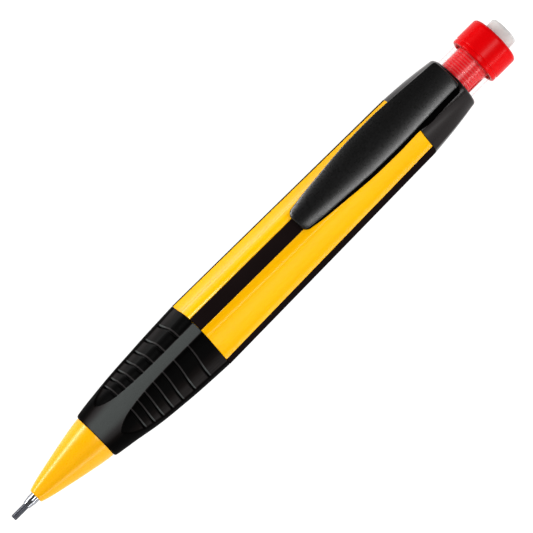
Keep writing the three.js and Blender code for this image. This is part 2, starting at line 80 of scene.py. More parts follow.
GRIP_FRONT, GRIP_REAR = span("grip_sleeve")
STRIP_FRONT, STRIP_REAR = span("top_strip")
CONE_FRONT, SPIGOT_REAR = span("front_cone")
CLIP_FRONT, CLIP_REAR = span("pocket_clip")
TUBE_FRONT, TUBE_REAR = span("thread_tube")
KNOB_FRONT, KNOB_REAR = span("twist_knob")
SOCKET_FRONT, COLLAR_REAR = span("rear_collar")
CORE_FRONT = span("barrel_shell")[0]
LEAD_LENGTH = span("lead")[1]
BARREL_FRONT = STRIP_FRONT - 0.05
COLLAR_FRONT = STRIP_REAR + 0.05
END = span("eraser")[1]

# Radii and clearances of the frame's own solids.
APOTHEM = 6.7
CORE_R = 4.8
MECHANISM_BORE = 4.15
BARREL_BORE = 5.0
SOCKET_R = 5.65
COLLAR_BORE = 4.95
SEAT = 0.04
RUN = 0.06
LEAD_R = 0.65
LEAD_BORE = LEAD_R + RUN
TUBE_R = 4.8
TUBE_BORE = 3.97
SLEEVE_R = 3.88
SLEEVE_BORE = 3.48
KNOB_R = 5.75
ERASER_R = 3.2
LEAD_TUBE_R = 2.6
LEAD_TUBE_BORE = 2.12


# ---------------------------------------------------------------- meshes
def new_object(name, verts, faces, sharp_degrees=32):
    mesh = bpy.data.meshes.new(name)
    mesh.from_pydata([tuple(v) for v in verts], [], faces)
    work = bmesh.new()
    work.from_mesh(mesh)
    bmesh.ops.recalc_face_normals(work, faces=work.faces)
    work.to_mesh(mesh)
    work.free()
    mesh.shade_smooth()
    mesh.set_sharp_from_angle(angle=math.radians(sharp_degrees))
    obj = bpy.data.objects.new(name, mesh)
    bpy.context.scene.collection.objects.link(obj)
    return obj


def stand_for(obj, node, *materials):
    """The piece takes the place of a CAD node, on its body and with its finish."""
    for material in materials:
        obj.data.materials.append(material)
    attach(obj, BODY_OF[node])
    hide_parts(node)
    return obj


def filleted(profile, steps=5):
    """A closed profile of (station, radius) or (station, radius, fillet) corners, with its fillets as
    arcs. A short straight run beside each arc keeps the shading of the next face even."""
    out = []
    for i, row in enumerate(profile):
        corner = np.array(row[:2], float)
        fillet = row[2] if len(row) > 2 else 0
        before = np.array(profile[i - 1][:2]) - corner
        after = np.array(profile[(i + 1) % len(profile)][:2]) - corner
        reach_before, reach_after = np.linalg.norm(before), np.linalg.norm(after)
        if not fillet:
            out.append(tuple(corner))
            continue
        before, after = before / reach_before, after / reach_after
        half = math.acos(np.clip(before @ after, -1, 1)) / 2
        tangent = min(fillet / math.tan(half), 0.48 * min(reach_before, reach_after))
        radius = tangent * math.tan(half)
        centre = corner + (before + after) / np.linalg.norm(before + after) * radius / math.sin(half)
        start, end = corner + before * tangent, corner + after * tangent
        first = math.atan2(start[1] - centre[1], start[0] - centre[0])
        last = math.atan2(end[1] - centre[1], end[0] - centre[0])
        turn = (last - first + math.pi) % (2 * math.pi) - math.pi
        spare = min(0.05, 0.3 * (min(reach_before, reach_after) - tangent))
        out.append(tuple(start + before * spare))
        for k in range(steps + 1):
            angle = first + turn * k / steps
            out.append((centre[0] + radius * math.cos(angle), centre[1] + radius * math.sin(angle)))
        out.append(tuple(end + after * spare))
    return out


def turned(name, profile, around=96):
    """A solid of revolution from a closed profile that may touch the axis."""
    verts, rings = [], []
    for station, radius in filleted(profile):
        if radius < 1e-6:
            rings.append([len(verts)])
            verts.append(place(station))
            continue
        rings.append(list(range(len(verts), len(verts) + around)))
        for k in range(around):
            angle = 2 * math.pi * k / around
            verts.append(place(station, radius * math.cos(angle), radius * math.sin(angle)))
    faces = []
    for ring, after in zip(rings, rings[1:] + rings[:1]):
        if len(ring) == 1 and len(after) == 1:
            continue
        for k in range(around):
            n = (k + 1) % around
            if len(ring) == 1:
                faces.append((ring[0], after[k], after[n]))
            elif len(after) == 1:
                faces.append((ring[k], after[0], ring[n]))
            else:
                faces.append((ring[k], after[k], after[n], ring[n]))
    return new_object(name, verts, faces)


def skinned(name, rings, closed=False, sharp_degrees=32):
    """A skin over successive rings of points. Closed joins the last ring to the first, for a tube
    with walls; otherwise each end is closed by a face."""
    count = len(rings[0])
    verts = [point for ring in rings for point in ring]
    faces = []
    for i in range(len(rings) if closed else len(rings) - 1):
        a, b = i * count, ((i + 1) % len(rings)) * count
        for k in range(count):
            n = (k + 1) % count
            faces.append((a + k, b + k, b + n, a + n))
    if not closed:
        faces.append(tuple(range(count)))
        faces.append(tuple(range(len(verts) - count, len(verts)))[::-1])
    return new_object(name, verts, faces, sharp_degrees)


def ring_at(station, outline):
    return [place(station, y, z) for y, z in outline]


def circle_at(station, radius, around):
    """A ring; the radius is a number, or a function of the direction in radians."""
    angles = [2 * math.pi * k / around for k in range(around)]
    radii = [radius(a) if callable(radius) else radius for a in angles]
    return [place(station, r * math.cos(a), r * math.sin(a)) for a, r in zip(angles, radii)]


def smooth_curve(table):
    """A smooth function through (station, value) pairs that doesn't overshoot between them."""
    xs = np.array([row[0] for row in table], float)
    ys = np.array([row[1] for row in table], float)
    step = np.diff(xs)
    slope = np.diff(ys) / step
    tangent = np.zeros(len(xs))
    tangent[0], tangent[-1] = slope[0], slope[-1]
    for i in range(1, len(xs) - 1):
        if slope[i - 1] * slope[i] > 0:
            w1, w2 = 2 * step[i] + step[i - 1], step[i] + 2 * step[i - 1]
            tangent[i] = (w1 + w2) / (w1 / slope[i - 1] + w2 / slope[i])

    def value(x):
        x = min(max(x, xs[0]), xs[-1])
        i = min(int(np.searchsorted(xs, x, side="right")) - 1, len(xs) - 2)
        h = step[i]
        t = (x - xs[i]) / h
        return float(
            ys[i] * (1 + 2 * t) * (1 - t) ** 2 + h * tangent[i] * t * (1 - t) ** 2
            + ys[i + 1] * t * t * (3 - 2 * t) + h * tangent[i + 1] * t * t * (t - 1)
        )

    return value


def smoothstep(low, high, x):
    t = np.clip((x - low) / (high - low), 0, 1)
    return t * t * (3 - 2 * t)


def round_ends(start, end, radius, middle, steps=4):
    """(station, inset) along a shell whose two ends are rounded over."""
    angles = np.linspace(0, math.pi / 2, steps + 1)
    rounding = [(radius * (1 - math.cos(a)), radius * (1 - math.sin(a))) for a in angles]
    front = [(start + s, inset) for s, inset in rounding]
    rear = [(end - s, inset) for s, inset in reversed(rounding)]
    return front + [(start + (end - start) * t, 0.0) for t in np.linspace(0, 1, middle + 2)[1:-1]] + rear


# ---------------------------------------------------------------- the rounded-triangular section
EDGES = (90, 210, 330)
DISH_SLOPE = 0.33               # the faces lean up to the black lower edges,
DISH_LOW = 3.2                  # are deepest this far from them
DISH_WIDTH = 7.4                # and are level again here


def arc(direction, spread, radius, start, end, steps):
    """Points on a corner's arc, from start to end degrees either side of its direction."""
    centre = spread * np.array([math.cos(math.radians(direction)), math.sin(math.radians(direction))])
    angles = np.radians(direction + np.linspace(start, end, steps + 1))
    return [tuple(centre + radius * np.array([math.cos(a), math.sin(a)])) for a in angles]


def corner_radius(spread):
    return APOTHEM - spread / 2


def section_radius(spread, apothem, from_edge):
    """Radius of the rounded triangle at an angle, in radians, from its nearest edge."""
    rho = apothem - spread / 2
    tangent = math.atan2(rho * math.sin(math.pi / 3), spread + rho * math.cos(math.pi / 3))
    on_arc = spread * np.cos(from_edge) + np.sqrt(rho ** 2 - (spread * np.sin(from_edge)) ** 2)
    on_flat = apothem / np.cos(math.pi / 3 - from_edge)
    return np.where(from_edge < tangent, on_arc, on_flat)


def dish(distance):
    """Depth of the hollow at a distance from the black edge."""
    near = np.clip(distance, 0, DISH_LOW)
    beyond = np.clip((distance - DISH_LOW) / (DISH_WIDTH - DISH_LOW), 0, 1)
    return DISH_SLOPE * (near - near ** 2 / (2 * DISH_LOW)) * (1 + np.cos(math.pi * beyond)) / 2


def from_top(angles):
    """Directions as angles from the clip's edge, 0 to pi each way round."""
    return np.abs((angles - math.pi / 2 + math.pi) % (2 * math.pi) - math.pi)


def from_edge(angles):
    return np.abs((angles - math.pi / 2 + math.pi / 3) % (2 * math.pi / 3) - math.pi / 3)


# ---------------------------------------------------------------- barrel
TOP_STRIP_HALF_WIDTH = 1.65
SIDE_STRIP_HALF_ANGLE = 58.7
STRIP_DEPTH = 0.7
LIP = 0.07                      # rounding of an edge where two colours meet


def barrel_spread(station):
    front, rear = 4.3, 2.24
    return front + (rear - front) * (station - BARREL_FRONT) / (COLLAR_FRONT - BARREL_FRONT)


def strip_half_angle(direction, radius):
    return math.degrees(TOP_STRIP_HALF_WIDTH / radius) if direction == 90 else SIDE_STRIP_HALF_ANGLE


def face_points(spread, radius, normal, first_half, last_half):
    """A coloured face between two edge strips, given its strips' half angles: round, flat, round, and
    dished beside a lower edge."""
    rounds = [8 if half < 45 else 1 for half in (first_half, last_half)]
    first = arc(normal - 60, spread, radius, first_half, 60, rounds[0])
    last = arc(normal + 60, spread, radius, -60, -last_half, rounds[1])
    start, end = np.array(first[-1]), np.array(last[0])
    flat = [tuple(start + (end - start) * t) for t in np.linspace(0, 1, 30)[1:-1]]
    path = first + flat + last
    ends = [end for end, half in ((path[0], first_half), (path[-1], last_half)) if half > 45]
    facing = np.array([math.cos(math.radians(normal)), math.sin(math.radians(normal))])
    shaped = []
    for point in path:
        distance = min(math.dist(point, end) for end in ends)
        shaped.append(tuple(point - dish(distance) * facing))
    return shaped


def barrel_outline(station, inset):
    """The barrel's outside, with a groove for each edge strip."""
    spread = barrel_spread(station)
    plain = corner_radius(spread)
    halves = {d: strip_half_angle(d, plain) + math.degrees(SEAT / 2 / plain) for d in EDGES}
    lip = math.degrees(LIP / plain)
    points = []
    for direction in EDGES:
        half, next_half = halves[direction], halves[90 + (direction + 30) % 360]
        points += arc(direction, spread, plain - STRIP_DEPTH - SEAT, -half, half, 16)
        points += arc(direction, spread, plain - inset - LIP, half, half, 0)
        points += face_points(spread, plain - inset, direction + 60, half + lip, next_half + lip)
        points += arc(direction + 120, spread, plain - inset - LIP, -next_half, -next_half, 0)
    return points


def outline_circle(outline, radius):
    """A circle with a point in the same direction as each point of an outline."""
    angles = np.maximum.accumulate(np.unwrap([math.atan2(z, y) for y, z in outline]))
    return [(radius * math.cos(a), radius * math.sin(a)) for a in angles]


def make_barrel():
    stations = round_ends(BARREL_FRONT, COLLAR_FRONT, 0.12, 5)
    outer = [ring_at(s, barrel_outline(s, inset)) for s, inset in stations]
    plain = barrel_outline(BARREL_FRONT, 0)
    inner = [ring_at(s, outline_circle(plain, r)) for s, r in (
        (COLLAR_FRONT, SOCKET_R), (SOCKET_FRONT - 0.3, SOCKET_R), (SOCKET_FRONT - 0.3, BARREL_BORE),
        (BARREL_FRONT - 1, BARREL_BORE), (BARREL_FRONT - 1, MECHANISM_BORE), (CORE_FRONT, MECHANISM_BORE),
        (CORE_FRONT, CORE_R), (BARREL_FRONT, CORE_R))]
    return skinned("barrel_skin", outer + inner, closed=True)


def make_strip(name, direction):
    def outline(station, inset):
        spread = barrel_spread(station)
        plain = corner_radius(spread)
        half = strip_half_angle(direction, plain) - math.degrees(SEAT / 2 / plain)
        lip = math.degrees(LIP / plain)
        return [
            *arc(direction, spread, plain - inset - LIP, -half, -half, 0),
            *arc(direction, spread, plain - inset, -half + lip, half - lip, 24),
            *arc(direction, spread, plain - inset - LIP, half, half, 0),
            *arc(direction, spread, plain - STRIP_DEPTH, half, -half, 24),
        ]

    stations = round_ends(STRIP_FRONT, STRIP_REAR, 0.1, 5)
    return skinned(name, [ring_at(s, outline(s, inset)) for s, inset in stations])


# ---------------------------------------------------------------- grip
GRIP_SPREAD = smooth_curve([
    (23.1, 0.05), (25, 0.1), (27, 0.3), (30, 1.1), (33, 2.2), (36, 3.0), (40, 3.6), (44, 4.0),
    (48, 4.17), (52.3, 4.28),
])
GRIP_APOTHEM = smooth_curve([
    (23.1, 5.35), (23.6, 5.5), (25, 5.72), (27, 5.93), (30, 6.05), (33, 6.06), (36, 6.1), (40, 6.2),
    (44, 6.35), (48, 6.5), (52.3, 6.68),
])
GROOVES = (31.4, 33.5, 35.7, 38.2, 40.9, 44.1, 48.1)      # spaced wider and wider to the rear
# Across a groove, from its middle: a rounded brink, a steep wall, then a slope that faces the tip; painted
# shade darkens the groove and a painted highlight lightens the slope.
GROOVE_AT = (-0.8, -0.45, -0.3, -0.22, 0.1, 0.14, 0.4, 0.46, 0.9)
GROOVE_HEIGHT = (0.0, -0.02, -0.08, -0.36, -0.36, -0.15, -0.02, 0.0, 0.0)
GROOVE_PAINTED_SHADE_AND_HIGHLIGHT = (0.0, 0.0, -0.2, -0.6, -0.6, 0.6, 0.6, 0.0, 0.0)     # lighter or darker than the pad
PAD_DEPTH = 0.3
PAD_EDGE = 0.3                  # width of the step down into a pad
PAD_TURN = math.radians(4.5)    # the pads and spine sit a little round from the edges, to the near side
PAD_TOP_EDGE = smooth_curve([   # degrees from the top of the grip to a finger pad's upper border
    (26.8, 44), (27.2, 36.5), (27.8, 30.5), (28.6, 25.6), (29.9, 20.4), (31.5, 16.7), (34.5, 12.8),
    (38, 10.3), (43.5, 8.8), (52.3, 8.2),
])
PAD_LOW_EDGE = smooth_curve([   # and to its lower border
    (26.8, 34), (27.2, 43), (27.8, 50), (29.0, 61), (30.9, 72), (33.5, 81), (37.8, 87), (43.5, 89),
    (52.3, 89.4),
])
# How far the ribs curve forwards at the grip's sides.
LEAN = smooth_curve([(29, 0.0), (31.4, 0.22), (40, 0.4), (48.1, 0.55), (51.8, 0.0)])


def pad_share(station, angles):
    """How far each point of a ring is down on a pad: 0 on the spines and front ring, 1 on a pad."""
    turn = from_top(angles - PAD_TURN)
    high, low = math.radians(PAD_TOP_EDGE(station)), math.radians(PAD_LOW_EDGE(station))
    radius = GRIP_APOTHEM(station)
    inside_upper = np.minimum(turn - high, low - turn) * radius
    inside_under = (turn - (4 * math.pi / 3 - low)) * radius
    return smoothstep(-PAD_EDGE / 2, PAD_EDGE / 2, np.maximum(inside_upper, inside_under))


def make_grip():
    around = 360
    angles = np.linspace(0, 2 * math.pi, around, endpoint=False)
    nearest = from_edge(angles)
    lean_share = smoothstep(math.radians(12), math.radians(90), from_top(angles))
    turned_off = from_top(angles - PAD_TURN)
    # Painted light: the spine's grey is painted lighter on top and darker towards its sides, and a pad darker
    # beside the spine and lighter towards its lower edge.
    spine_grey_with_painted_shade = 0.1 + 0.9 * smoothstep(math.radians(52), math.radians(10), turned_off)
    pad_grey_with_painted_light = 0.04 + 0.5 * smoothstep(math.radians(30), math.radians(88), turned_off)
    rings, shares, colours_with_painted_light = [], [], []

    def add_ring(station, height=0.0, colour_with_painted_light=0.0, inset=0.0):
        share = pad_share(station, angles)
        colours_with_painted_light.append(spine_grey_with_painted_shade + share * (np.maximum(pad_grey_with_painted_light + colour_with_painted_light, 0) - spine_grey_with_painted_shade))
        depth = PAD_DEPTH * (1 - 0.5 * smoothstep(46, 52, station))
        radius = section_radius(GRIP_SPREAD(station), GRIP_APOTHEM(station), nearest) - inset
        radius = radius - share * (depth - height)
        shift = LEAN(station) * lean_share
        rings.append([
            place(station - d, r * math.cos(a), r * math.sin(a)) for d, r, a in zip(shift, radius, angles)])
        shares.append(share)

    ribs = {}
    for groove in GROOVES:
        for offset, height, colour_with_painted_light in zip(GROOVE_AT, GROOVE_HEIGHT, GROOVE_PAINTED_SHADE_AND_HIGHLIGHT):
            ribs[groove + offset] = (height, colour_with_painted_light)
    plain = [s for s in np.arange(GRIP_FRONT + 0.7, GRIP_REAR - 0.3, 0.25)
             if all(s < g + GROOVE_AT[0] - 0.1 or s > g + GROOVE_AT[-1] + 0.1 for g in GROOVES)]
    for station in plain:
        ribs[station] = (0.0, 0.0)
    front_edge, rear_edge = 0.35, 0.1
    for angle in np.linspace(0, math.pi / 2, 7):
        add_ring(GRIP_FRONT + front_edge * (1 - math.cos(angle)), inset=front_edge * (1 - math.sin(angle)))
    for station in sorted(ribs):
        add_ring(station, *ribs[station])
    for angle in np.linspace(math.pi / 2, 0, 4):
        add_ring(GRIP_REAR - rear_edge * (1 - math.cos(angle)), inset=rear_edge * (1 - math.sin(angle)))
    lip_rear = CORE_FRONT - 0.25
    for station, radius in (
            (GRIP_REAR, CORE_R + SEAT), (lip_rear, CORE_R + SEAT), (lip_rear, MECHANISM_BORE),
            (GRIP_FRONT, MECHANISM_BORE)):
        rings.append([place(station, radius * math.cos(a), radius * math.sin(a)) for a in angles])
        shares.append(np.zeros(around))
        colours_with_painted_light.append(np.zeros(around))
    grip = skinned("grip_rubber", rings, closed=True, sharp_degrees=50)
    for name, values in (("pad", shares), ("colour_with_painted_light", colours_with_painted_light)):
        layer = grip.data.attributes.new(name, "FLOAT", "POINT")
        layer.data.foreach_set("value", np.concatenate(values).astype(np.float32))
    return grip


# ---------------------------------------------------------------- collar
COLLAR_SPREAD = smooth_curve([
    (111.7, 2.24), (113.8, 1.85), (116.4, 1.3), (119.6, 0.7), (121.2, 0.35), (122.8, 0.1), (124.4, 0.05),
])
COLLAR_APOTHEM = smooth_curve([
    (111.7, 6.68), (116.4, 6.67), (119.6, 6.55), (121.2, 6.48), (122.8, 6.33), (124.4, 6.12),
])
COLLAR_ROUND = 0.62
SIDE_RIDGE = 90.4               # degrees from the top to the ridge that carries on the lower edges' line


def collar_radius(station, angles):
    """The collar's section, with the barrel's dish running out towards the rear."""
    radius = section_radius(COLLAR_SPREAD(station), COLLAR_APOTHEM(station), from_edge(angles))
    reach = (math.radians(SIDE_RIDGE) - from_top(angles)) * radius
    return radius - dish(reach) * (1 - 0.5 * smoothstep(116, 124, station))


def collar_top(station, y):
    """Height of the collar's outside at a distance from its middle plane."""
    angles = np.radians(np.linspace(15, 165, 101))
    radius = collar_radius(station, angles)
    return float(np.interp(y, (radius * np.cos(angles))[::-1], (radius * np.sin(angles))[::-1]))


def make_collar():
    around = 360
    angles = np.linspace(0, 2 * math.pi, around, endpoint=False)
    front = COLLAR_FRONT + 0.06
    rings = []

    def add_ring(station, inset):
        radius = collar_radius(station, angles) - inset
        rings.append([place(station, r * math.cos(a), r * math.sin(a)) for r, a in zip(radius, angles)])

    for angle in np.linspace(0, math.pi / 2, 4):
        add_ring(front + 0.1 * (1 - math.cos(angle)), 0.1 * (1 - math.sin(angle)))
    for station in np.linspace(front + 0.3, COLLAR_REAR - COLLAR_ROUND - 0.1, 40):
        add_ring(station, 0.0)
    for angle in np.linspace(math.pi / 2, 0, 10):
        add_ring(COLLAR_REAR - COLLAR_ROUND * (1 - math.cos(angle)), COLLAR_ROUND * (1 - math.sin(angle)))
    for station, radius in (
            (COLLAR_REAR, COLLAR_BORE + 0.2), (COLLAR_REAR - 0.2, COLLAR_BORE), (SOCKET_FRONT, COLLAR_BORE),
            (SOCKET_FRONT, SOCKET_R - SEAT), (front, SOCKET_R - SEAT)):
        rings.append([place(station, radius * math.cos(a), radius * math.sin(a)) for a in angles])
    return skinned("collar_shell", rings, closed=True)


# ---------------------------------------------------------------- pocket clip
CLIP_LENGTH = CLIP_REAR - CLIP_FRONT
CLIP_HALF = smooth_curve([
    (0, 2.6), (1.1, 2.75), (4.7, 3.3), (9.7, 3.76), (14.7, 4.2), (18.7, 4.44), (24.7, 4.52), (28.7, 4.4),
    (33.7, 4.15), (38.7, 3.88), (CLIP_LENGTH, 3.72),
])
CLIP_CREST = smooth_curve([
    (0, 10.4), (2.3, 10.68), (8.3, 11.25), (14.3, 11.72), (19.3, 11.95), (24.3, 12), (30.3, 11.8),
    (36.3, 11.25), (40.9, 10.65), (CLIP_LENGTH, 10.38),
])
CLIP_SKIRT = smooth_curve([(0, 9.2), (5, 9.12), (CLIP_LENGTH, 9.02)])
CLIP_FRONT_CORNER = 1.35        # round corners, seen from above
CLIP_REAR_CORNER = 0.9
CLIP_TOP_EDGE = 0.3             # rounding of the hood's ends, seen from the side
CLIP_DRAFT = 0.9                # half width at the top edge over half width at the bottom
CLIP_CROWN = 0.5                # the hood's fall from its middle to its top edges,
CLIP_CROWN_SHARE = 0.16         # at most this share of its half width,
CLIP_CROWN_POWER = 2.2          # and steeper to the edges
CLIP_WALL = 1.0
HOLLOW_FRONT = 5.1              # the hood is solid before this and behind the root
ROOT_FRONT = 33.6
FOOT_AT = 3.0
FOOT_HALF_LENGTH = 1.7
FOOT_HALF_WIDTH = 1.5
FOOT_ROUND = 0.4
FOOT_LOW = 8.5


def corner_loss(distance, radius):
    """How much a rounded corner takes off, at a distance from the end."""
    return radius - math.sqrt(radius ** 2 - max(0.0, radius - distance) ** 2)


def clip_section(distance):
    """Points round the hood: over the top from one skirt to the other, and back along the inside."""
    to_rear = CLIP_LENGTH - distance
    station = CLIP_FRONT + distance
    half = CLIP_HALF(distance) - corner_loss(distance, CLIP_FRONT_CORNER)
    half -= corner_loss(to_rear, CLIP_REAR_CORNER)
    crest = CLIP_CREST(distance) - corner_loss(distance, CLIP_TOP_EDGE) - corner_loss(to_rear, CLIP_TOP_EDGE)
    top_half = CLIP_DRAFT * half
    fall = min(CLIP_CROWN, CLIP_CROWN_SHARE * half)
    rooted = float(smoothstep(ROOT_FRONT - 4.2, ROOT_FRONT + 0.6, distance))
    hollow = float(smoothstep(HOLLOW_FRONT - 0.5, HOLLOW_FRONT + 0.5, distance))

    def crown(y):
        return crest - fall * (abs(y) / top_half) ** CLIP_CROWN_POWER

    def under(y, ceiling):
        level = CLIP_SKIRT(distance)
        height = level + hollow * max(0.0, ceiling - level)
        across = max(0.0, abs(y) - FOOT_HALF_WIDTH + FOOT_ROUND) / FOOT_ROUND
        bulge = 1 - ((distance - FOOT_AT) / FOOT_HALF_LENGTH) ** 2 - across ** 2
        height -= (level - FOOT_LOW) * math.sqrt(max(0.0, bulge))
        if rooted == 0:
            return height
        return height + rooted * (collar_top(station, y) + RUN - height)

    edge = crown(top_half)
    skirt = under(half, 0.0)
    side = [
        (half - 0.1, skirt), (half, skirt + 0.1), (top_half + 0.13, edge - 0.34),
        (top_half + 0.1, edge - 0.12), (top_half + 0.04, edge - 0.03),
        (top_half - 0.05, crown(top_half - 0.05)),
    ]
    sweep = np.sin(np.linspace(math.pi / 2, -math.pi / 2, 37))[1:-1]
    over = [(y, crown(y)) for y in (top_half - 0.1) * sweep]
    inner = max(half - CLIP_WALL, 0.3 * half)
    back = [(-inner, under(inner, 0.0))]
    back += [(y, under(y, crown(y) - CLIP_WALL)) for y in np.linspace(-0.94 * inner, 0.94 * inner, 17)]
    back.append((inner, under(inner, 0.0)))
    return side + over + [(-y, z) for y, z in reversed(side)] + back


def make_clip():
    ends = CLIP_FRONT_CORNER * (1 - np.cos(np.linspace(0.1, math.pi / 2, 12)))
    rear = CLIP_LENGTH - CLIP_REAR_CORNER * (1 - np.cos(np.linspace(math.pi / 2, 0.1, 12)))
    middle = np.arange(CLIP_FRONT_CORNER + 0.2, CLIP_LENGTH - CLIP_REAR_CORNER - 0.1, 0.25)
    rings = [ring_at(CLIP_FRONT + d, clip_section(d)) for d in (0.0, *ends, *middle, *rear, CLIP_LENGTH)]
    hood = skinned("clip_hood", rings, sharp_degrees=38)
    count = len(rings[0])
    # The side walls take a shaded copy of the clip's black, with no reflection: painted shade.
    walls = [k for k, (a, b) in enumerate(zip(rings[len(rings) // 2], rings[len(rings) // 2][1:]))
             if abs(b[2] - a[2]) > 3 * abs(b[1] - a[1])]
    for polygon in hood.data.polygons:
        if polygon.index < count * (len(rings) - 1) and polygon.index % count in walls:
            polygon.material_index = 1
    return hood


# ---------------------------------------------------------------- front end
CONE_OUTSIDE = smooth_curve([
    (6.2, 1.56), (7.6, 2.0), (9.2, 2.42), (10.8, 2.78), (12.4, 3.12), (14.0, 3.47), (15.6, 3.8), (17.2, 4.12),
    (18.8, 4.42), (20.4, 4.71), (22.0, 4.95), (23.0, 5.06),
])
CONE_REAR = 23.0
SPIGOT_R = 3.6
CONE_PITCH = 1.0
THREAD_DEPTH = 0.22
CONE_BORE = (                   # stepped, from its rear end to its mouth
    (SPIGOT_REAR, 3.0), (18.0, 3.0), (18.0, 2.6), (13.6, 2.6), (13.6, 1.78), (9.35, 1.78), (9.35, 1.2),
)


def thread(station, angle, pitch, depth, start, end):
    """Depth of a single-start thread below its crest, fading out at both ends."""
    phase = (station / pitch - angle / (2 * math.pi)) % 1.0
    fade = float(smoothstep(start, start + 0.5, station) * smoothstep(end, end - 0.3, station))
    return depth * fade * float(smoothstep(0.15, 0.5, abs(phase - 0.5)))


def make_cone():
    around = 96

    def threaded(station):
        return lambda angle: SPIGOT_R - thread(
            station, angle, CONE_PITCH, THREAD_DEPTH, CONE_REAR, SPIGOT_REAR)

    nose = ((CONE_FRONT, CONE_BORE[-1][1]), (CONE_FRONT, 1.44), (CONE_FRONT + 0.04, 1.52))
    rings = [circle_at(station, radius, around) for station, radius in nose]
    for station in np.linspace(CONE_FRONT + 0.14, CONE_REAR - 0.12, 48):
        rings.append(circle_at(station, CONE_OUTSIDE(station), around))
    rings.append(circle_at(CONE_REAR - 0.02, CONE_OUTSIDE(CONE_REAR) - 0.03, around))
    rings.append(circle_at(CONE_REAR, CONE_OUTSIDE(CONE_REAR) - 0.1, around))
    for station in np.arange(CONE_REAR, SPIGOT_REAR - 0.15, 0.1):
        rings.append(circle_at(station, threaded(station), around))
    for station, radius in ((SPIGOT_REAR, SPIGOT_R - 0.2), *CONE_BORE):
        rings.append(circle_at(station, radius, around))
    return skinned("cone_skin", rings, closed=True)


def make_lead_sleeve():
    return turned("lead_sleeve_turned", [
        (3.6, LEAD_BORE), (3.6, 0.82, 0.05), (5.0, 1.08, 2.5), (9.4, 1.13), (9.4, 1.7, 0.08),
        (10.4, 1.7, 0.08), (10.4, LEAD_BORE),
    ])


def make_lead():
    worn = 0.12
    return turned("lead_stick", [
        (0, 0), (0, LEAD_R - worn, 0.05), (worn, LEAD_R, 0.06), (LEAD_LENGTH, LEAD_R, 0.03),
        (LEAD_LENGTH, 0),
    ], around=48)


# ---------------------------------------------------------------- eraser unit
TUBE_PITCH = 0.65
TUBE_THREAD_DEPTH = 0.05
SLOT_REAR = 128.4
SLOT_INSET = 0.5                # from the sleeve's front end to its slots
SLOT_HALF_WIDTH = 0.8


def make_thread_tube():
    around = 144
    rings = [circle_at(TUBE_FRONT, TUBE_R - 0.3, around), circle_at(TUBE_FRONT + 0.3, TUBE_R, around)]
    rings += [circle_at(s, TUBE_R, around) for s in np.linspace(TUBE_FRONT + 0.5, TUBE_REAR - 0.3, 24)]
    rings += [circle_at(TUBE_REAR - 0.1, TUBE_R, around), circle_at(TUBE_REAR, TUBE_R - 0.1, around)]
    rings.append(circle_at(TUBE_REAR, TUBE_BORE + 0.1, around))
    start, end = TUBE_FRONT + 3.2, TUBE_REAR - 0.2

    def threaded(station):
        return lambda angle: TUBE_BORE + thread(station, angle, TUBE_PITCH, TUBE_THREAD_DEPTH, start, end)

    for station in np.arange(TUBE_REAR - 0.1, TUBE_FRONT, -TUBE_PITCH / 8):
        rings.append(circle_at(station, threaded(station), around))
    rings.append(circle_at(TUBE_FRONT, TUBE_BORE, around))
    return skinned("clear_tube", rings, closed=True)


def make_slotted_sleeve():
    """The red sleeve; a cutter with round ends opens its two slots."""
    front, rear = span("slotted_sleeve")
    sleeve = turned("red_sleeve", [
        (front, SLEEVE_BORE, 0.1), (front, SLEEVE_R, 0.1), (rear, SLEEVE_R, 0.05), (rear, SLEEVE_BORE, 0.05),
    ], around=96)
    half = SLOT_HALF_WIDTH
    outline = [
        (centre + half * math.cos(angle), half * math.sin(angle))
        for centre, first in ((front + SLOT_INSET + half, 90), (SLOT_REAR - half, -90))
        for angle in np.radians(np.linspace(first, first + 180, 13))
    ]
    cutter_reach = 6.0
    rings = [[place(s, y, z) for s, z in outline] for y in (-cutter_reach, cutter_reach)]
    cutter = skinned("slot_cutter", rings)
    cut = sleeve.modifiers.new("slots", "BOOLEAN")
    cut.object = cutter
    cut.solver = "EXACT"
    bpy.context.view_layer.update()
    evaluated = sleeve.evaluated_get(bpy.context.evaluated_depsgraph_get())
    mesh = bpy.data.meshes.new_from_object(evaluated)
    sleeve.modifiers.clear()
    sleeve.data = mesh
    bpy.data.objects.remove(cutter)
    mesh.set_sharp_from_angle(angle=math.radians(32))
    return sleeve


def make_knob():
    """The knob, with a rounded lip, a shallow groove behind it, and rounded shoulders."""
    skirt = TUBE_R + 0.1
    drum = KNOB_R - 0.08
    lip, groove, mouth = drum - 0.07, drum - 0.17, ERASER_R + 0.25
    return turned("knob_skin", [
        (KNOB_FRONT, skirt, 0.08), (KNOB_FRONT, lip, 0.55), (KNOB_FRONT + 0.85, lip, 0.08),
        (KNOB_FRONT + 0.95, groove, 0.08), (KNOB_FRONT + 1.15, groove, 0.08), (KNOB_FRONT + 1.3, drum, 0.12),
        (KNOB_REAR, drum, 0.8), (KNOB_REAR, mouth, 0.12), (KNOB_REAR - 2.1, mouth),
        (KNOB_REAR - 2.1, SLEEVE_R + SEAT), (TUBE_REAR + 0.25, SLEEVE_R + SEAT), (TUBE_REAR + 0.25, skirt),
    ], around=128)


def make_eraser():
    start = span("eraser")[0]
    return turned("eraser_stick", [(start, 0), (start, ERASER_R, 0.2), (END, ERASER_R, 0.55), (END, 0)])


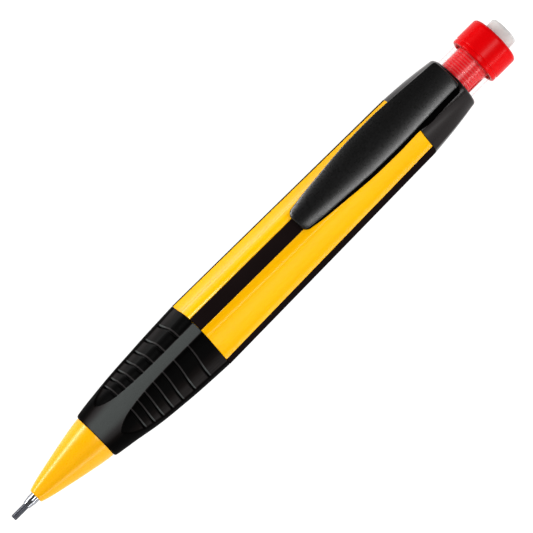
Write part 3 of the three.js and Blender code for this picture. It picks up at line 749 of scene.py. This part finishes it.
# ---------------------------------------------------------------- push mechanism
def make_plug():
    front, rear = span("tube_plug")
    grip = LEAD_TUBE_R + SEAT
    lead_tube_rear = span("lead_tube")[1]
    return turned("plug_skin", [
        (front, grip, 0.1), (front, 3.5, 0.2), (front + 0.6, 3.75, 0.3), (TUBE_FRONT - 0.3, 3.75, 0.15),
        (TUBE_FRONT - 0.3, TUBE_BORE - SEAT), (rear, TUBE_BORE - SEAT, 0.2), (rear, 0),
        (lead_tube_rear + 0.1, 0), (lead_tube_rear + 0.1, grip),
    ])


def make_lead_tube():
    front, rear = span("lead_tube")
    return turned("lead_tube_skin", [
        (front, LEAD_TUBE_BORE), (front, 2.95, 0.12), (front + 1.2, 2.95, 0.15),
        (front + 1.6, LEAD_TUBE_R, 0.2), (rear, LEAD_TUBE_R, 0.12), (rear, LEAD_TUBE_BORE, 0.08),
    ])


def make_spring():
    """The return spring, with its end turns closed."""
    front, rear = span("return_spring")
    coil_r, wire_r, turns, per_turn, around = 2.4, 0.2, 9, 48, 12
    closed_turn = 2.2 * wire_r
    start, end = front + wire_r, rear - wire_r
    rings = []
    for i in range(turns * per_turn + 1):
        turn = i / per_turn
        open_share = min(max(turn - 1, 0), turns - 2) / (turns - 2)
        closed = min(turn, 1) + max(0.0, turn - turns + 1)
        station = start + closed_turn * closed + open_share * (end - start - 2 * closed_turn)
        angle = 2 * math.pi * turn
        ring = []
        for k in range(around):
            a = 2 * math.pi * k / around
            reach = coil_r + wire_r * math.cos(a)
            at = station + wire_r * math.sin(a)
            ring.append(place(at, reach * math.cos(angle), reach * math.sin(angle)))
        rings.append(ring)
    return skinned("spring_wire", rings)


# ---------------------------------------------------------------- materials
class Finish:
    """Writes one material's node tree round its Principled shader."""

    def __init__(self, name, **constants):
        self.material = bpy.data.materials.new(name)
        self.material.use_nodes = True
        self.tree = self.material.node_tree
        self.shader = self.tree.nodes["Principled BSDF"]
        self.coordinates = self.add("ShaderNodeTexCoord").outputs["Object"]
        self.set(**constants)

    def add(self, kind, inputs=None, **settings):
        node = self.tree.nodes.new(kind)
        for key, value in settings.items():
            setattr(node, key, value)
        for key, value in (inputs or {}).items():
            self.feed(node.inputs[key], value)
        return node

    def feed(self, socket, value):
        if isinstance(value, bpy.types.NodeSocket):
            self.tree.links.new(value, socket)
        else:
            socket.default_value = value

    def set(self, **values):
        for key, value in values.items():
            self.feed(self.shader.inputs[key.replace("_", " ")], value)

    def noise(self, scale, detail=2.0, roughness=0.5, stretch=(1, 1, 1)):
        mapping = self.add("ShaderNodeMapping", {"Vector": self.coordinates, "Scale": stretch})
        return self.add("ShaderNodeTexNoise", {
            "Vector": mapping.outputs["Vector"], "Scale": scale, "Detail": detail, "Roughness": roughness,
        }).outputs["Fac"]

    def remap(self, value, low, high, to_low, to_high):
        return self.add("ShaderNodeMapRange", {
            "Value": value, "From Min": low, "From Max": high, "To Min": to_low, "To Max": to_high,
        }).outputs["Result"]

    def mix(self, share, first, second):
        node = self.add("ShaderNodeMix", data_type="RGBA")
        for index, value in ((0, share), (6, first), (7, second)):
            self.feed(node.inputs[index], value)
        return node.outputs[2]

    def blend(self, share, first, second):
        node = self.add("ShaderNodeMix", data_type="FLOAT")
        for index, value in ((0, share), (2, first), (3, second)):
            self.feed(node.inputs[index], value)
        return node.outputs[0]

    def scale(self, colour, factor):
        node = self.add("ShaderNodeVectorMath", operation="SCALE")
        self.feed(node.inputs[0], colour)
        self.feed(node.inputs["Scale"], factor)
        return node.outputs[0]

    def bump(self, height, distance, strength=1.0):
        return self.add("ShaderNodeBump", {
            "Height": height, "Distance": distance, "Strength": strength}).outputs["Normal"]


def rgb(red, green, blue):
    """A display colour, 0 to 255, as the linear colour that a shader takes."""
    def linear(c):
        c /= 255
        return c / 12.92 if c <= 0.04045 else ((c + 0.055) / 1.055) ** 2.4
    return (linear(red), linear(green), linear(blue), 1.0)


def moulded(name, colour, deeper, roughness, ripple=0.000002, **constants):
    """Moulded plastic: faint flow marks in the colour, a fine haze, and a very slight ripple."""
    finish = Finish(name, **constants)
    flow = finish.noise(140, 4.0, 0.6, stretch=(0.35, 1, 1))
    haze = finish.noise(2600, 3.0, 0.6)
    finish.set(
        Base_Color=finish.mix(finish.remap(flow, 0.35, 0.7, 0, 1), colour, deeper),
        Roughness=finish.remap(haze, 0.3, 0.7, roughness * 0.85, roughness * 1.15),
        Normal=finish.bump(finish.noise(420, 2.0), ripple, 0.4),
    )
    return finish.material


def grip_finish():
    """Satin, finely grained rubber on the spines, smoother and darker in the finger pads, with painted shade
    and highlights in its colour.
    """
    finish = Finish("grip_rubber", Specular_IOR_Level=0.02)
    pad = finish.add("ShaderNodeAttribute", attribute_name="pad").outputs["Fac"]
    colour_with_painted_light = finish.add("ShaderNodeAttribute", attribute_name="colour_with_painted_light").outputs["Fac"]
    grain = finish.noise(9000, 2.0, 0.6)
    cloud = finish.noise(260, 3.0, 0.55)
    streak = finish.noise(3200, 2.0, 0.5, stretch=(0.12, 1, 1))
    # The ramp turns the tone into colour: near black where shade is painted in the grooves and at the spine's
    # sides, the spine's grey where it is painted lit.
    ramp = finish.add("ShaderNodeValToRGB", {"Fac": colour_with_painted_light})
    ramp.color_ramp.elements[0].color = rgb(1, 1, 1)
    ramp.color_ramp.elements[1].color = rgb(84, 87, 86)
    for position, colour in ((0.15, rgb(5, 4, 4)), (0.35, rgb(22, 18, 17)), (0.75, rgb(62, 60, 60))):
        ramp.color_ramp.elements.new(position).color = colour
    mottle = finish.blend(
        pad, finish.remap(grain, 0.3, 0.7, 0.86, 1.1), finish.remap(streak, 0.35, 0.7, 0.85, 1.15))
    finish.set(
        Base_Color=finish.scale(ramp.outputs["Color"], mottle),
        Roughness=finish.blend(
            pad, finish.remap(cloud, 0.3, 0.7, 0.52, 0.62), finish.remap(cloud, 0.3, 0.7, 0.42, 0.5)),
        Normal=finish.bump(finish.blend(pad, grain, finish.remap(streak, 0, 1, 0.42, 0.58)), 0.00002, 0.6),
    )
    return finish.material


def metal(name, colour, roughness, turning=5200):
    """Turned metal: fine tool marks round the axis, and slight tarnish."""
    finish = Finish(name, Metallic=1.0)
    marks = finish.noise(turning, 2.0, 0.6, stretch=(1, 0.05, 0.05))
    cloud = finish.noise(500, 3.0, 0.6)
    darker = tuple(0.82 * c for c in colour[:3]) + (1.0,)
    finish.set(
        Base_Color=finish.mix(finish.remap(cloud, 0.35, 0.7, 0, 1), colour, darker),
        Roughness=finish.remap(marks, 0.3, 0.7, roughness * 0.7, roughness * 1.3),
        Normal=finish.bump(marks, 0.000003, 0.3),
    )
    return finish.material


def graphite_finish():
    finish = Finish("graphite_lead", Metallic=0.35)
    grain = finish.noise(6000, 3.0, 0.7)
    finish.set(
        Base_Color=finish.mix(finish.remap(grain, 0.3, 0.7, 0, 1), rgb(58, 60, 68), rgb(88, 90, 98)),
        Roughness=finish.remap(grain, 0.3, 0.7, 0.32, 0.5),
        Normal=finish.bump(grain, 0.00001, 0.6),
    )
    return finish.material


def eraser_finish():
    """White vinyl: slightly soft-looking, with a powdery grain and faint smudges."""
    finish = Finish(
        "white_vinyl", Subsurface_Weight=0.12, Subsurface_Radius=(0.0015, 0.0013, 0.0011),
        Specular_IOR_Level=0.3)
    grain = finish.noise(5000, 3.0, 0.6)
    smudge = finish.noise(300, 3.0, 0.6)
    finish.set(
        Base_Color=finish.mix(finish.remap(smudge, 0.5, 0.8, 0, 1), rgb(212, 210, 208), rgb(198, 196, 194)),
        Roughness=finish.remap(grain, 0.3, 0.7, 0.6, 0.75),
        Normal=finish.bump(grain, 0.00001, 0.5),
    )
    return finish.material


def clear_finish():
    """Clear plastic: see-through from the front and denser at its edges, with the lines of its thread."""
    finish = Finish("clear_styrene", IOR=1.49, Specular_IOR_Level=0.8)
    facing = finish.add("ShaderNodeLayerWeight", {"Blend": 0.3}).outputs["Facing"]
    edge = finish.remap(facing, 0.5, 0.95, 0.0, 0.75)
    lines_scale = math.pi / (10 * TUBE_PITCH * MM)      # one line a turn
    line = finish.add("ShaderNodeTexWave", {
        "Vector": finish.coordinates, "Scale": lines_scale, "Distortion": 0.0}).outputs["Fac"]
    lined = finish.remap(line, 0.3, 1.0, 0.0, 0.06)
    haze = finish.noise(1500, 2.0, 0.5)
    finish.set(
        Base_Color=finish.mix(finish.remap(facing, 0.45, 0.9, 0, 1), rgb(250, 226, 220), rgb(116, 118, 124)),
        Alpha=finish.add("ShaderNodeMath", {0: edge, 1: lined}, operation="ADD").outputs[0],
        Roughness=finish.remap(haze, 0.3, 0.7, 0.06, 0.12),
        Normal=finish.bump(line, 0.00003, 0.5),
    )
    return finish.material


SUBSURFACE = {"Subsurface_Weight": 0.06, "Subsurface_Radius": (0.0016, 0.0008, 0.0002)}
MATERIALS = {
    "yellow": moulded("yellow_gloss", rgb(250, 192, 0), rgb(247, 187, 0), 0.18, 0.0000008,
                      Specular_IOR_Level=0.15, **SUBSURFACE),
    "cone": moulded("yellow_cone", rgb(250, 188, 0), rgb(247, 183, 0), 0.3, 0.0000008,
                    Specular_IOR_Level=0.4, **SUBSURFACE),
    "strip": moulded("black_strip", rgb(33, 25, 25), rgb(28, 21, 21), 0.4, Specular_IOR_Level=0.0),
    "collar": moulded("black_collar", rgb(22, 12, 12), rgb(17, 9, 9), 0.22, Specular_IOR_Level=0.32),
    "clip": moulded("black_clip", rgb(3, 3, 3), rgb(6, 5, 5), 0.3, Specular_IOR_Level=0.8),
    # A shaded copy of the clip's black, with no reflection, for its side walls: painted shade.
    "clip_shaded_side": moulded("black_clip_shaded_walls", rgb(4, 4, 4), rgb(8, 7, 7), 0.5, Specular_IOR_Level=0.0),
    "grip": grip_finish(),
    "retainer": moulded("retainer_rubber", rgb(40, 40, 42), rgb(52, 52, 54), 0.6),
    "red": moulded("red_gloss", rgb(228, 4, 12), rgb(214, 2, 9), 0.26, Specular_IOR_Level=0.12),
    "sleeve": moulded("red_sleeve", rgb(226, 6, 26), rgb(214, 4, 20), 0.3, Specular_IOR_Level=0.5),
    "clear": clear_finish(),
    "eraser": eraser_finish(),
    "inner": moulded("grey_nylon", rgb(168, 171, 174), rgb(150, 153, 157), 0.45),
    "steel": metal("bright_steel", rgb(168, 170, 175), 0.24),
    "brass": metal("turned_brass", rgb(206, 172, 88), 0.26),
    "graphite": graphite_finish(),
}


def dress_node(node, finish):
    """A CAD node whose own shape is right gets its material."""
    mesh = frame["nodes"][node].data
    mesh.materials.clear()
    mesh.materials.append(MATERIALS[finish])


def build_pieces():
    stand_for(make_barrel(), "barrel_shell", MATERIALS["yellow"])
    for node, direction in (("top_strip", 90), ("edge_strip_left", 210), ("edge_strip_right", 330)):
        stand_for(make_strip(node + "_skin", direction), node, MATERIALS["strip"])
    stand_for(make_grip(), "grip_sleeve", MATERIALS["grip"])
    stand_for(make_collar(), "rear_collar", MATERIALS["collar"])
    stand_for(make_clip(), "pocket_clip", MATERIALS["clip"], MATERIALS["clip_shaded_side"])
    stand_for(make_cone(), "front_cone", MATERIALS["cone"])
    stand_for(make_lead_sleeve(), "lead_sleeve", MATERIALS["steel"])
    stand_for(make_lead(), "lead", MATERIALS["graphite"])
    stand_for(make_thread_tube(), "thread_tube", MATERIALS["clear"])
    stand_for(make_slotted_sleeve(), "slotted_sleeve", MATERIALS["sleeve"])
    stand_for(make_knob(), "twist_knob", MATERIALS["red"])
    stand_for(make_eraser(), "eraser", MATERIALS["eraser"])
    stand_for(make_plug(), "tube_plug", MATERIALS["inner"])
    stand_for(make_lead_tube(), "lead_tube", MATERIALS["inner"])
    spring = stand_for(make_spring(), "return_spring", MATERIALS["steel"])
    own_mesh(spring)
    dress_node("eraser_carrier", "red")
    dress_node("lead_retainer", "retainer")
    dress_node("spring_bush", "inner")
    dress_node("clutch_ring", "steel")
    for node in ("collet_stem", "collet_jaw_1", "collet_jaw_2", "collet_jaw_3"):
        dress_node(node, "brass")
    for node in ("spare_lead_1", "spare_lead_2"):
        dress_node(node, "graphite")


build_pieces()


# ---------------------------------------------------------------- camera, floor and light
TAKEN_FROM = 0.96               # metres from the pencil's middle
ROLL = math.radians(12.1)       # how far the view comes round towards the near side
TILT = math.radians(4.8)        # how far it leans towards the writing tip
SLANT = math.radians(44.83)     # the pencil's slope across the picture
VIEW_WIDTH = 106.6              # millimetres across the picture, at the pencil
MIDDLE_LEFT = 1.18              # the pencil's middle, left of the picture's and below it
MIDDLE_DOWN = 1.22


def add_camera():
    back = Vector((-math.sin(TILT), -math.sin(ROLL) * math.cos(TILT), math.cos(ROLL) * math.cos(TILT)))
    along = Vector((1, 0, 0))
    along = (along - along.dot(back) * back).normalized()
    across = back.cross(along)
    right = along * math.cos(SLANT) - across * math.sin(SLANT)
    up = along * math.sin(SLANT) + across * math.cos(SLANT)
    target = Vector(place(END / 2)) + right * MIDDLE_LEFT * MM + up * MIDDLE_DOWN * MM
    data = bpy.data.cameras.new("camera")
    data.sensor_width = 36
    data.lens = data.sensor_width * TAKEN_FROM / (VIEW_WIDTH * MM)
    data.clip_start, data.clip_end = 0.01, 20
    camera = bpy.data.objects.new("camera", data)
    bpy.context.scene.collection.objects.link(camera)
    turn = Matrix((right, up, back)).transposed().to_4x4()
    camera.matrix_world = Matrix.Translation(target + back * TAKEN_FROM) @ turn
    bpy.context.scene.camera = camera


def add_floor():
    bpy.ops.mesh.primitive_plane_add(size=4.0, location=(0, 0, -0.0002))
    floor = bpy.context.object
    floor.name = "floor"
    finish = Finish(
        "pale_floor", Roughness=0.9, Specular_IOR_Level=0.1, Emission_Color=rgb(255, 255, 255),
        Emission_Strength=0.84)
    finish.set(Base_Color=finish.mix(finish.noise(3, 2.0), rgb(149, 149, 149), rgb(153, 153, 153)))
    floor.data.materials.append(finish.material)


def add_softbox(name, centre, target, width, height, radiance):
    """A soft rectangular light; its width lies level."""
    data = bpy.data.lights.new(name, "AREA")
    data.shape = "RECTANGLE"
    data.size, data.size_y = width, height
    data.energy = radiance * math.pi * width * height
    light = bpy.data.objects.new(name, data)
    bpy.context.scene.collection.objects.link(light)
    light.location = centre
    light.rotation_euler = (Vector(target) - Vector(centre)).to_track_quat("-Z", "Y").to_euler()


def side_softbox(name, side, low, high, distance, left, right, radiance):
    """A softbox beside the pencil: it fills the angles from low to high, in degrees from overhead,
    on the far side (1) or the near side (-1), from left to right along the pencil, in metres."""
    middle = math.radians((low + high) / 2)
    centre = ((left + right) / 2, side * distance * math.sin(middle), distance * math.cos(middle))
    height = 2 * distance * math.tan(math.radians(high - low) / 2)
    add_softbox(name, centre, (centre[0], 0, 0), right - left, height, radiance)


def add_lights():
    world = bpy.data.worlds.new("studio")
    bpy.context.scene.world = world
    world.use_nodes = True
    world.node_tree.nodes["Background"].inputs["Color"].default_value = (1, 1, 1, 1)
    world.node_tree.nodes["Background"].inputs["Strength"].default_value = 0.08
    side_softbox("far_key", 1, 55, 66, 0.75, -0.55, 0.06, 22.0)
    side_softbox("near_strip", -1, 70, 79, 0.6, -0.5, 0.4, 8.0)
    side_softbox("near_card", -1, 13, 30, 0.8, -0.12, 0.45, 8.0)
    add_softbox("tip_fill", (-0.55, 0, 0.55), (0, 0, 0), 0.5, 0.4, 0.8)
    add_softbox("rear_fill", (0.55, 0, 0.55), (0, 0, 0), 0.5, 0.4, 0.5)


bpy.context.scene.view_settings.view_transform = "Standard"
bpy.context.scene.view_settings.gamma = 0.86
add_camera()
add_floor()
add_lights()
